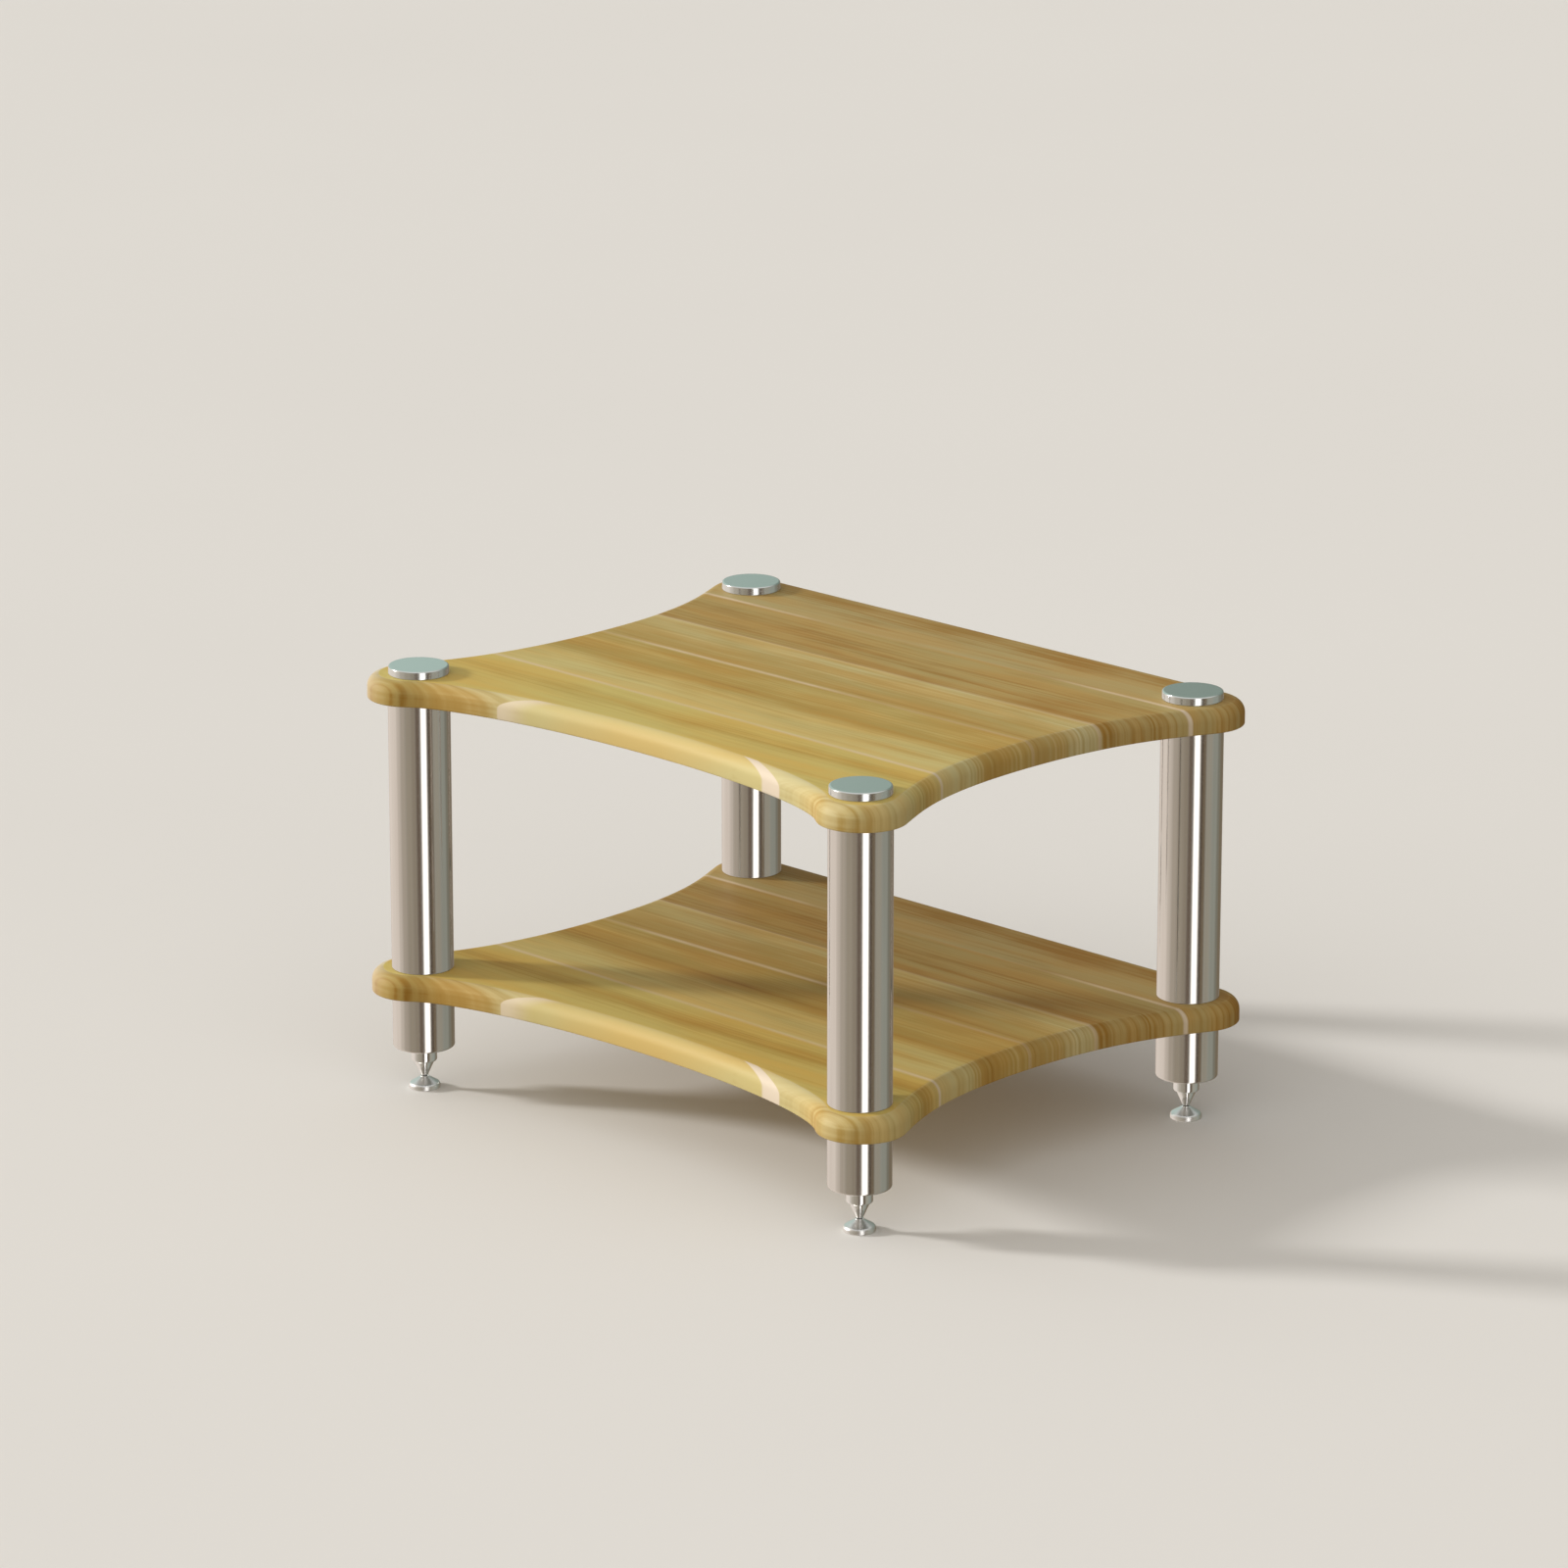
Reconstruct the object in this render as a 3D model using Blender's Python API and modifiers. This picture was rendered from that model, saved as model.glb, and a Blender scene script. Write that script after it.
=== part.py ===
# Media storage shelf: two waisted hardwood shelves on four steel columns, where
# each column stands on a levelling spike and a loose shoe.
# Lengths are in metres, +Z is up and the front faces -Y.
# The origin is on the floor, midway between the four columns.

import math

import bmesh
import bpy
from mathutils import Vector

# Columns
column_spacing_x = 0.500
column_spacing_y = 0.3834
column_radius = 0.0255
tube_wall = 0.0020
upper_tube_length = 0.2296
lower_tube_length = 0.0477
tube_edge_radius = 0.0005
lower_tube_foot_radius = 0.0016
plug_depth = 0.012

# Shelves. The margins lie between a column's outside and the shelf's outermost line.
shelf_thickness = 0.020
end_margin = 0.0155
side_margin = 0.0141
corner_radius = 0.036
front_waist = 0.0475
end_waist = 0.043
top_round_over = 0.0105
under_round_over = 0.0012
round_over_limit_share = 0.6

# How far each round corner turns on past its side before the hollow curve takes over.
front_corner_turn = math.radians(40)
end_corner_turn = math.radians(24)

# Reach of each hollow curve's handles, as shares of the half spacing and of the corner radius.
front_waist_reach_share = 0.50
end_waist_reach_share = 0.56
front_corner_reach_share = 0.80
end_corner_reach_share = 0.97

# Threaded studs and their holes
stud_radius = 0.0040
stud_clearance = 0.0004
stud_engagement = 0.011
stud_chamfer = 0.0008
shelf_bore_clearance = 0.0005

# Caps, a little smaller than the columns
cap_setback = 0.0007
cap_thickness = 0.0065
cap_edge_radius = 0.0010

# Levelling spikes: a stud, a round head that seats against the column, and a cone
head_radius = 0.0106
head_height = 0.0132
head_edge_radius = 0.0010
head_foot_radius = 0.0022
cone_length = 0.0173
tip_radius = 0.0006
spike_stud_length = 0.024

# Shoes under the spikes
shoe_radius = 0.0130
shoe_floor = 0.0057
shoe_rim_height = 0.0024
shoe_rim_radius = 0.0032
shoe_foot_radius = 0.0010
shoe_height = 0.0102
shoe_neck_radius = 0.0036
shoe_neck_edge_radius = 0.0004

# Clearances and working values
seat_gap = 0.0003
cut_overrun = 0.005
weld_distance = 0.00002

# Facet counts
column_sides = 32
cap_sides = 32
plug_sides = 16
stud_sides = 16
spike_sides = 20
shoe_sides = 24
outline_steps = 7

# Heights above the floor, worked out upwards from the shoes
tip_height = shoe_floor + seat_gap
head_base = tip_height + cone_length
lower_tube_base = head_base + head_height + seat_gap
lower_shelf_base = lower_tube_base + lower_tube_length + seat_gap
lower_shelf_top = lower_shelf_base + shelf_thickness
upper_tube_base = lower_shelf_top + seat_gap
upper_shelf_base = upper_tube_base + upper_tube_length + seat_gap
upper_shelf_top = upper_shelf_base + shelf_thickness
cap_base = upper_shelf_top + seat_gap

# Sizes that follow from those above
half_length = column_spacing_x / 2 + column_radius + end_margin
half_depth = column_spacing_y / 2 + column_radius + side_margin
cap_radius = column_radius - cap_setback
plug_radius = column_radius - tube_wall - seat_gap
plug_bore_radius = stud_radius + stud_clearance
shelf_bore_radius = stud_radius + shelf_bore_clearance
cone_radius = head_radius - head_foot_radius

corners = {
    "front_left": (-column_spacing_x / 2, -column_spacing_y / 2),
    "front_right": (column_spacing_x / 2, -column_spacing_y / 2),
    "rear_left": (-column_spacing_x / 2, column_spacing_y / 2),
    "rear_right": (column_spacing_x / 2, column_spacing_y / 2),
}


def clear_scene():
    for old in list(bpy.data.objects):
        bpy.data.objects.remove(old, do_unlink=True)


def make_collection(name):
    collection = bpy.data.collections.new(name)
    bpy.context.scene.collection.children.link(collection)
    return collection


def make_material(name, color, roughness, metallic):
    material = bpy.data.materials.new(name)
    material.use_nodes = True
    shader = material.node_tree.nodes["Principled BSDF"]
    shader.inputs["Base Color"].default_value = (*color, 1.0)
    shader.inputs["Roughness"].default_value = roughness
    shader.inputs["Metallic"].default_value = metallic
    return material


def make_empty(name, place, parent, collection):
    empty = bpy.data.objects.new(name, None)
    empty.empty_display_size = column_radius
    empty.location = place
    empty.parent = parent
    collection.objects.link(empty)
    return empty


def place_part(name, mesh, place, parent, collection):
    part = bpy.data.objects.new(name, mesh)
    part.location = place
    part.parent = parent
    collection.objects.link(part)
    return part


# Points of a rounded edge about a centre given as (radius, height).
def arc_points(centre, radius, start, end, steps):
    points = []
    for step in range(steps + 1):
        angle = start + (end - start) * step / steps
        points.append((centre[0] + radius * math.cos(angle), centre[1] + radius * math.sin(angle)))
    return points


# A turned piece from its profile, given as (radius, height) down the outer side.
# A closed profile leaves a bore; an open one starts and ends on the axis.
def turned_mesh(name, profile, sides, material, closed=False):
    outline = bpy.data.meshes.new(name)
    edges = [(index, index + 1) for index in range(len(profile) - 1)]
    if closed:
        edges.append((len(profile) - 1, 0))
    outline.from_pydata([(radius, 0, height) for radius, height in profile], edges, [])
    blank = bpy.data.objects.new(name, outline)
    bpy.context.scene.collection.objects.link(blank)
    turn = blank.modifiers.new("Turn", "SCREW")
    turn.axis = "Z"
    turn.steps = sides
    turn.render_steps = sides
    turn.use_merge_vertices = True
    turn.merge_threshold = weld_distance
    evaluated = blank.evaluated_get(bpy.context.evaluated_depsgraph_get())
    mesh = bpy.data.meshes.new_from_object(evaluated)
    bpy.data.objects.remove(blank)
    bpy.data.meshes.remove(outline)
    mesh.name = name
    mesh.materials.append(material)
    mesh.shade_smooth()
    mesh.set_sharp_from_angle(angle=math.radians(30))
    return mesh


# Handles and points of a round shelf corner, running anticlockwise.
def round_corner(centre, start, end, lead_in, lead_out, pieces=2):
    reach = 4 / 3 * math.tan((end - start) / pieces / 4) * corner_radius
    points = []
    for step in range(pieces + 1):
        angle = start + (end - start) * step / pieces
        outward = Vector((math.cos(angle), math.sin(angle)))
        along = Vector((-math.sin(angle), math.cos(angle)))
        spot = centre + corner_radius * outward
        before = lead_in if step == 0 else reach
        after = lead_out if step == pieces else reach
        points.append((spot - before * along, spot, spot + after * along))
    return points


# Control points of the shelf outline: a hollow front and hollow ends, a straight rear.
def shelf_outline():
    front_reach = Vector((front_waist_reach_share * column_spacing_x / 2, 0))
    end_reach = Vector((0, end_waist_reach_share * column_spacing_y / 2))
    front_lead = front_corner_reach_share * corner_radius
    end_lead = end_corner_reach_share * corner_radius
    rear_lead = (half_length - corner_radius) * 2 / 3
    front_spot = Vector((0, front_waist - half_depth))
    end_spot = Vector((half_length - end_waist, 0))
    front_centre = Vector((half_length - corner_radius, corner_radius - half_depth))
    rear_centre = Vector((half_length - corner_radius, half_depth - corner_radius))

    front = [(front_spot - front_reach, front_spot, front_spot + front_reach)]
    right = round_corner(
        front_centre, -math.pi / 2 - front_corner_turn, end_corner_turn, front_lead, end_lead
    )
    right.append((end_spot - end_reach, end_spot, end_spot + end_reach))
    right += round_corner(rear_centre, -end_corner_turn, math.pi / 2, end_lead, rear_lead)
    left = []
    for before, spot, after in reversed(right):
        left.append(tuple(Vector((-point.x, point.y)) for point in (after, spot, before)))
    return front + right + left


# The shelf blank: its outline extruded, with the upper and lower rims rounded over.
def shelf_mesh(name, material):
    curve = bpy.data.curves.new(name, "CURVE")
    curve.dimensions = "2D"
    curve.fill_mode = "BOTH"
    curve.extrude = shelf_thickness / 2
    spline = curve.splines.new("BEZIER")
    outline = shelf_outline()
    spline.bezier_points.add(len(outline) - 1)
    for point, (before, spot, after) in zip(spline.bezier_points, outline):
        point.handle_left_type = "FREE"
        point.handle_right_type = "FREE"
        point.co = spot.to_3d()
        point.handle_left = before.to_3d()
        point.handle_right = after.to_3d()
    spline.use_cyclic_u = True
    spline.resolution_u = outline_steps
    blank = bpy.data.objects.new(name, curve)
    bpy.context.scene.collection.objects.link(blank)
    evaluated = blank.evaluated_get(bpy.context.evaluated_depsgraph_get())
    mesh = bpy.data.meshes.new_from_object(evaluated)
    bpy.data.objects.remove(blank)
    bpy.data.curves.remove(curve)

    shape = bmesh.new()
    shape.from_mesh(mesh)
    bmesh.ops.remove_doubles(shape, verts=shape.verts, dist=weld_distance)
    bmesh.ops.dissolve_limit(
        shape, angle_limit=math.radians(0.3), verts=shape.verts, edges=shape.edges
    )
    bmesh.ops.recalc_face_normals(shape, faces=shape.faces)
    limit = round_over_limit_share * shelf_thickness
    round_rim(shape, 1, min(top_round_over, limit), 4)
    round_rim(shape, -1, min(under_round_over, limit), 2)
    shape.to_mesh(mesh)
    shape.free()
    mesh.name = name
    mesh.materials.append(material)
    mesh.shade_smooth()
    mesh.set_sharp_from_angle(angle=math.radians(30))
    return mesh


# Rounds the rim on the upper (side 1) or lower (side -1) face.
def round_rim(shape, side, radius, segments):
    rim = []
    for edge in shape.edges:
        on_face = all(vert.co.z * side > 0 for vert in edge.verts)
        if on_face and edge.calc_face_angle(0) > math.radians(60):
            rim.append(edge)
    bmesh.ops.bevel(
        shape,
        geom=rim,
        offset=radius,
        offset_type="OFFSET",
        segments=segments,
        profile=0.5,
        affect="EDGES",
    )


# One cutter for the stud holes: four long rods that pass through both shelves.
def make_bore_cutter(collection):
    bottom = lower_shelf_base - cut_overrun
    top = upper_shelf_top + cut_overrun
    shape = bmesh.new()
    for x, y in corners.values():
        rod = bmesh.ops.create_cone(
            shape,
            cap_ends=True,
            segments=stud_sides,
            radius1=shelf_bore_radius,
            radius2=shelf_bore_radius,
            depth=top - bottom,
        )
        bmesh.ops.translate(shape, verts=rod["verts"], vec=(x, y, (top + bottom) / 2))
    mesh = bpy.data.meshes.new("bore_cutter")
    shape.to_mesh(mesh)
    shape.free()
    cutter = bpy.data.objects.new("bore_cutter", mesh)
    cutter.display_type = "WIRE"
    cutter.hide_render = True
    collection.objects.link(cutter)
    return cutter


def make_shelves(rack, collection, cutter, material):
    mesh = shelf_mesh("shelf", material)
    for name, base in (("shelf_top", upper_shelf_base), ("shelf_lower", lower_shelf_base)):
        shelf = place_part(name, mesh, (0, 0, base + shelf_thickness / 2), rack, collection)
        bores = shelf.modifiers.new("Bores", "BOOLEAN")
        bores.operation = "DIFFERENCE"
        bores.solver = "EXACT"
        bores.object = cutter


# Tube wall seen as a closed profile, with its own rounding on the lower outer edge.
def tube_profile(length, foot_radius, foot_steps):
    inner = column_radius - tube_wall
    head_centre = (column_radius - tube_edge_radius, length - tube_edge_radius)
    foot_centre = (column_radius - foot_radius, foot_radius)
    profile = arc_points(head_centre, tube_edge_radius, math.pi / 2, 0, 1)
    profile += arc_points(foot_centre, foot_radius, 0, -math.pi / 2, foot_steps)
    return profile + [(inner, 0), (inner, length)]


def plug_profile():
    return [
        (plug_radius, plug_depth),
        (plug_radius, 0),
        (plug_bore_radius, 0),
        (plug_bore_radius, plug_depth),
    ]


# A stud's upper end, from the axis out to its side.
def stud_top(height):
    return [(0, height), (stud_radius - stud_chamfer, height), (stud_radius, height - stud_chamfer)]


# A stud's lower end, from its side in to the axis.
def stud_bottom(height):
    return [(stud_radius, height + stud_chamfer), (stud_radius - stud_chamfer, height), (0, height)]


def joining_stud_profile():
    length = shelf_thickness + 2 * seat_gap + 2 * stud_engagement
    return stud_top(length) + stud_bottom(0)


# A flat cap whose own stud runs down through the shelf; its height starts at the underside.
def cap_profile():
    rim_centre = (cap_radius - cap_edge_radius, cap_thickness - cap_edge_radius)
    rim = arc_points(rim_centre, cap_edge_radius, math.pi / 2, 0, 2)
    stud_reach = shelf_thickness + 2 * seat_gap + stud_engagement
    return [(0, cap_thickness)] + rim + [(cap_radius, 0), (stud_radius, 0)] + stud_bottom(-stud_reach)


# Stud, head and cone in one piece; its height starts at the tip.
def spike_profile():
    head_top = cone_length + head_height
    upper_centre = (head_radius - head_edge_radius, head_top - head_edge_radius)
    lower_centre = (cone_radius, cone_length + head_foot_radius)
    profile = stud_top(head_top + seat_gap + spike_stud_length)
    profile.append((stud_radius, head_top))
    profile += arc_points(upper_centre, head_edge_radius, math.pi / 2, 0, 2)
    profile += arc_points(lower_centre, head_foot_radius, 0, -math.pi / 2, 3)
    return profile + [(tip_radius, 0), (0, 0)]


# A low cone that falls smoothly into its round rim, with a socket that follows the spike.
def shoe_profile():
    slope = (cone_radius - tip_radius) / cone_length
    side_gap = seat_gap * math.hypot(1, slope)
    socket_mouth = tip_radius + side_gap + slope * (shoe_height - tip_height)
    neck_centre = (shoe_neck_radius - shoe_neck_edge_radius, shoe_height - shoe_neck_edge_radius)
    rim_centre = (shoe_radius - shoe_rim_radius, shoe_rim_height)
    foot_centre = (shoe_radius - shoe_foot_radius, shoe_foot_radius)
    rise = neck_centre[1] - rim_centre[1]
    run = rim_centre[0] - shoe_neck_radius
    fall = math.atan2(rise, -run) - math.acos(shoe_rim_radius / math.hypot(rise, run))
    profile = [(0, shoe_floor), (tip_radius + side_gap, shoe_floor), (socket_mouth, shoe_height)]
    profile += arc_points(neck_centre, shoe_neck_edge_radius, math.pi / 2, 0, 2)
    profile += arc_points(rim_centre, shoe_rim_radius, fall, 0, 3)
    profile += arc_points(foot_centre, shoe_foot_radius, 0, -math.pi / 2, 2)
    return profile + [(0, 0)]


def make_columns(rack, collection, materials):
    upper_tube = turned_mesh(
        "upper_tube",
        tube_profile(upper_tube_length, tube_edge_radius, 1),
        column_sides,
        materials["column"],
        closed=True,
    )
    lower_tube = turned_mesh(
        "lower_tube",
        tube_profile(lower_tube_length, lower_tube_foot_radius, 2),
        column_sides,
        materials["column"],
        closed=True,
    )
    plug = turned_mesh("plug", plug_profile(), plug_sides, materials["plug"], closed=True)
    stud = turned_mesh("joining_stud", joining_stud_profile(), stud_sides, materials["stud"])
    cap = turned_mesh("cap", cap_profile(), cap_sides, materials["cap"])
    pieces = {
        "column_upper": (upper_tube, upper_tube_base),
        "column_lower": (lower_tube, lower_tube_base),
        "plug_upper_top": (plug, upper_tube_base + upper_tube_length - plug_depth),
        "plug_upper_bottom": (plug, upper_tube_base),
        "plug_lower_top": (plug, lower_tube_base + lower_tube_length - plug_depth),
        "plug_lower_bottom": (plug, lower_tube_base),
        "joining_stud": (stud, lower_shelf_base - seat_gap - stud_engagement),
        "cap": (cap, cap_base),
    }
    for corner, (x, y) in corners.items():
        axis = make_empty("column_axis_" + corner, (x, y, 0), rack, collection)
        for name, (mesh, height) in pieces.items():
            place_part(name + "_" + corner, mesh, (0, 0, height), axis, collection)


# Each foot hangs on an empty that lies on its own screw axis.
def make_feet(rack, collection, materials):
    spike = turned_mesh("spike", spike_profile(), spike_sides, materials["spike"])
    shoe = turned_mesh("shoe", shoe_profile(), shoe_sides, materials["shoe"])
    for corner, (x, y) in corners.items():
        axis = make_empty("foot_axis_" + corner, (x, y, 0), rack, collection)
        place_part("spike_" + corner, spike, (0, 0, tip_height), axis, collection)
        place_part("shoe_" + corner, shoe, (0, 0, 0), axis, collection)


def main():
    clear_scene()
    parts = make_collection("media_storage_shelf")
    cutters = make_collection("cutters")
    materials = {
        "shelf": make_material("shelf_wood", (0.54, 0.38, 0.14), 0.42, 0.0),
        "column": make_material("column_steel", (0.62, 0.58, 0.52), 0.22, 1.0),
        "cap": make_material("cap_steel", (0.66, 0.66, 0.64), 0.18, 1.0),
        "plug": make_material("plug_metal", (0.60, 0.60, 0.60), 0.45, 1.0),
        "stud": make_material("stud_steel", (0.55, 0.55, 0.55), 0.35, 1.0),
        "spike": make_material("spike_chrome", (0.72, 0.71, 0.69), 0.10, 1.0),
        "shoe": make_material("shoe_chrome", (0.72, 0.71, 0.69), 0.14, 1.0),
    }
    rack = make_empty("media_storage_shelf_origin", (0, 0, 0), None, parts)
    cutter = make_bore_cutter(cutters)
    make_shelves(rack, parts, cutter, materials["shelf"])
    make_columns(rack, parts, materials)
    make_feet(rack, parts, materials)


main()
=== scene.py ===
# Media storage shelf: two waisted boards of glued staves on four polished steel columns,
# each column on a chrome levelling spike that stands in a dished shoe.
import math

import bmesh
import bpy
from mathutils import Matrix, Vector


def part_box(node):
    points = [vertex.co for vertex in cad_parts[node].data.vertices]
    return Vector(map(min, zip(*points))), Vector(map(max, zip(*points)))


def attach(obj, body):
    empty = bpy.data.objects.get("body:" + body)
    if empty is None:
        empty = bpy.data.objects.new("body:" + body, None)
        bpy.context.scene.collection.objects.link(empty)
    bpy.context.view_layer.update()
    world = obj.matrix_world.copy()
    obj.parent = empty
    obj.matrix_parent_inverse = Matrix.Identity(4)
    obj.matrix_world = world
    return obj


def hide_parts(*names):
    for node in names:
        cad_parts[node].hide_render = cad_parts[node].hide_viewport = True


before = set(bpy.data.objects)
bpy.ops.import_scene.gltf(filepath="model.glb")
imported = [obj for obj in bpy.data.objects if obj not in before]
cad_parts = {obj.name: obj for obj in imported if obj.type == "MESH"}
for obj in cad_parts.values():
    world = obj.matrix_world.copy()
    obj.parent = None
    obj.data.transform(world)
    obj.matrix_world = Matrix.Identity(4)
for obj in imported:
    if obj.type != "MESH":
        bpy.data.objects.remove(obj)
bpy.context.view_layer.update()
print("frame loaded with", len(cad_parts), "nodes")

corners = ("front_left", "front_right", "rear_left", "rear_right")
columnPlace = {"x": 0.250, "y": 0.1917}   # the columns' axes, either side of the middle
millimetres = 1000                        # in a metre: materials are laid out in millimetres
weldDistance = 0.00001
smoothAngle = math.radians(33)


def srgb(red, green, blue):
    # screen values 0 to 255, turned into the linear ones that the shader takes
    def linear(value):
        share = value / 255
        return share / 12.92 if share <= 0.04045 else ((share + 0.055) / 1.055) ** 2.4
    return (linear(red), linear(green), linear(blue), 1)


class Wire:
    # one output in a node tree; sums and products of wires add their own Math nodes
    def __init__(self, tree, socket=None):
        self.tree = tree
        self.socket = socket

    def put(self, kind, settings=None, sockets=None, out=0):
        node = self.tree.nodes.new(kind)
        for name, value in (settings or {}).items():
            if name == "stops":
                ramp = node.color_ramp
                while len(ramp.elements) < len(value):
                    ramp.elements.new(1)
                for element, (place, colour) in zip(ramp.elements, value):
                    element.position = place
                    element.color = colour
            elif name == "blending":
                node.color_ramp.interpolation = value
            else:
                setattr(node, name, value)
        for name, value in (sockets or {}).items():
            if isinstance(value, Wire):
                self.tree.links.new(value.socket, node.inputs[name])
            else:
                node.inputs[name].default_value = value
        return Wire(self.tree, node.outputs[out])

    def maths(self, operation, first, second=0.0, third=0.0):
        sockets = {0: first, 1: second, 2: third}
        return self.put("ShaderNodeMath", {"operation": operation}, sockets)

    def __add__(self, other):
        return self.maths("ADD", self, other)

    def __radd__(self, other):
        return self.maths("ADD", other, self)

    def __sub__(self, other):
        return self.maths("SUBTRACT", self, other)

    def __rsub__(self, other):
        return self.maths("SUBTRACT", other, self)

    def __mul__(self, other):
        return self.maths("MULTIPLY", self, other)

    def __truediv__(self, other):
        return self.maths("DIVIDE", self, other)

    def __pow__(self, other):
        return self.maths("POWER", self, other)

    def __abs__(self):
        return self.maths("ABSOLUTE", self)

    def step(self, low, high):
        # 0 below low, 1 above high, smooth between them
        return self.put(
            "ShaderNodeMapRange",
            {"interpolation_type": "SMOOTHSTEP"},
            {"Value": self, "From Min": low, "From Max": high},
        )

    def clamp(self):
        return self.put("ShaderNodeClamp", {}, {"Value": self})

    def split(self):
        # the x, y and z of a vector
        outputs = self.put("ShaderNodeSeparateXYZ", {}, {"Vector": self}).socket.node.outputs
        return [Wire(self.tree, output) for output in outputs]


def mixColour(factor, first, second, blend="MIX"):
    wire = next(value for value in (factor, first, second) if isinstance(value, Wire))
    settings = {"data_type": "RGBA", "blend_type": blend}
    return wire.put("ShaderNodeMix", settings, {0: factor, 6: first, 7: second}, out=2)


def grain(wire, x, y, z, detail=2.0, roughness=0.5):
    # soft noise around 0, about -0.5 to 0.5
    vector = wire.put("ShaderNodeCombineXYZ", {}, {"X": x, "Y": y, "Z": z})
    noise = wire.put(
        "ShaderNodeTexNoise",
        {"noise_dimensions": "3D"},
        {"Vector": vector, "Scale": 1.0, "Detail": detail, "Roughness": roughness},
    )
    return noise - 0.5


def startMaterial(name):
    # a new material, its shader, and the place on the object in millimetres
    material = bpy.data.materials.new(name)
    material.use_nodes = True
    wire = Wire(material.node_tree)
    shader = material.node_tree.nodes["Principled BSDF"]
    place = wire.put("ShaderNodeTexCoord", out="Object")
    x, y, z = (axis * millimetres for axis in place.split())
    return material, wire, shader, x, y, z


def plug(wire, shader, socket):
    wire.tree.links.new(wire.socket, shader.inputs[socket])


def addBump(shader, height, strength, distance):
    sockets = {"Strength": strength, "Distance": distance, "Height": height}
    plug(height.put("ShaderNodeBump", {}, sockets), shader, "Normal")


# wood

wood = {
    # rear edge of each stave (mm), tone at its rear and front, its dark streak's place,
    # width and depth, how grey it is, how much its rear edge slants, and its place in the log
    "staves": (
        (231.3, 0.20, 0.40, 206, 12, 0.12, 1.00, 0.0, 0),
        (156.0, 0.40, 0.22, 124, 9, 0.08, 0.72, 0.009, 37.3),
        (76.0, 0.74, 0.46, 16, 14, 0.08, 0.46, 0.004, 81.9),
        (5.0, 0.50, 0.94, -44, 13, 0.26, 0.23, 0.0, 12.7),
        (-110.0, 0.98, 0.96, -142, 14, 0.28, 0.00, -0.012, 59.1),
        (-195.0, 0.92, 0.66, -222, 9, 0.10, 0.24, 0.0, 59.1),
    ),
    "frontEdge": -231.3,
    # glue line at each rear edge: strength inside and outside its middle part, and that
    # part's centre and how far from it the change starts and ends
    "joints": (
        (0.12, 0.95, 0, 100, 210),
        (0.22, 0.46, 0, 140, 240),
        (0.90, 0.30, -75, 60, 160),
        (0.55, 0.85, 0, 80, 220),
    ),
    # how far a glue line's blur reaches on top and on the rim, how wide its core is there,
    # and the length and height of its wander (mm)
    "jointBlur": {"top": 4.2, "rim": 2.8, "core": 0.7},
    "jointWander": (60, 1.6),
    "jointStrength": 0.85,
    # the last stave's slanting ends on the hollow front: their centre, reach and slope
    "slant": {"centre": 4.5, "reach": 154.5, "slope": 2.4},
    # over how many millimetres one stave gives way to the next, and to the last one
    "staveBlend": (-0.25, 0.25),
    "slantBlend": (-0.6, 0.6),
    # noise: its length along, across and up the board (mm), its detail and its roughness
    "noise": {
        "bend": (330, 85, 300, 1.0, 0.5),
        "waver": (110, 30, 160, 1.0, 0.5),
        "broad": (380, 13, 200, 2.0, 0.5),
        "lines": (230, 4.0, 120, 2.5, 0.55),
        "fine": (60, 1.2, 50, 2.0, 0.5),
        "cloud": (75, 26, 90, 2.0, 0.5),
        "swirl": (200, 19, 260, 2.0, 0.5),
        "layers": (190, 40, 3.4, 2.0, 0.5),
        "drift": (150, 20, 60, 1.0, 0.5),
        "pores": (26, 0.55, 0.8, 1.0, 0.5),
    },
    # the glue lines come and go: length and width of a patch (mm), the noise's layer and
    # detail, and how it is scaled and raised
    "patches": (45, 20, 3, 2.0),
    "patchScale": 1.4,
    "patchLevel": 0.9,
    # how far a face leans before it counts as rim, as an end and as front or rear
    "rimLean": (0.985, 0.998),
    "endLean": (0.08, 0.34),
    "frontLean": (0.55, 0.95),
    # where on the board (mm) each of these comes in
    "rearOfFrontRim": (-190, -150),
    "leftCorner": (-285, -250),
    "brownFrom": (-292, -262),
    "brownUntil": (-190, 40),
    "rightHalf": (-5, 5),
    # how far from the slanting end each pale patch starts and is full (mm)
    "crispPatch": (-13.5, -11.5),
    "fadingPatch": (-22, -1),
    "fadingStrength": 0.75,
    # how far the fibres wander (mm), and what each layer adds to the tone
    "bend": 16,
    "waver": 3.2,
    "broad": 0.32,
    "lines": 0.60,
    "fine": 0.26,
    "cloud": 0.38,
    "layers": 0.60,
    "rings": {"swirl": 22, "density": 1.05, "rim": 0.14, "top": 0.015},
    # painted light: how much lighter the rounded rim is painted
    "rimPaintedLight": 0.10,
    # painted shade: how much darker the ends are painted
    "endPaintedShade": 0.11,
    "brownEnd": 0.25,
    "drift": 3.2,
    "dark": srgb(151, 111, 40),
    "middle": srgb(175, 149, 85),
    "middlePlace": 0.42,
    "pale": srgb(202, 187, 133),
    "jointTop": srgb(214, 194, 163),
    "jointRim": srgb(216, 202, 182),
    "golden": srgb(255, 245, 220),
    "olive": srgb(249, 255, 250),
    "yellow": (1.0, 0.918, 0.64, 1),
    "grey": (1.0, 1.06, 1.54, 1),
    "rimGrey": 0.42,
    "endLessGrey": 0.35,
    # painted reflection of the wall on the left front corner: how grey and how pale it is
    # painted
    "cornerReflectionGrey": 0.7,
    "cornerReflectionPale": 0.45,
    "poreEdge": (0.16, 0.30),
    "roughness": 0.55,
    "fineRoughness": 0.10,
    "poreRoughness": 0.08,
    "relief": {"lines": 0.5, "fine": 0.4, "pores": 0.3},
    "specular": 0.13,
    "bumpStrength": 0.08,
    "bumpDepth": 0.0003,
}


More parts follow.
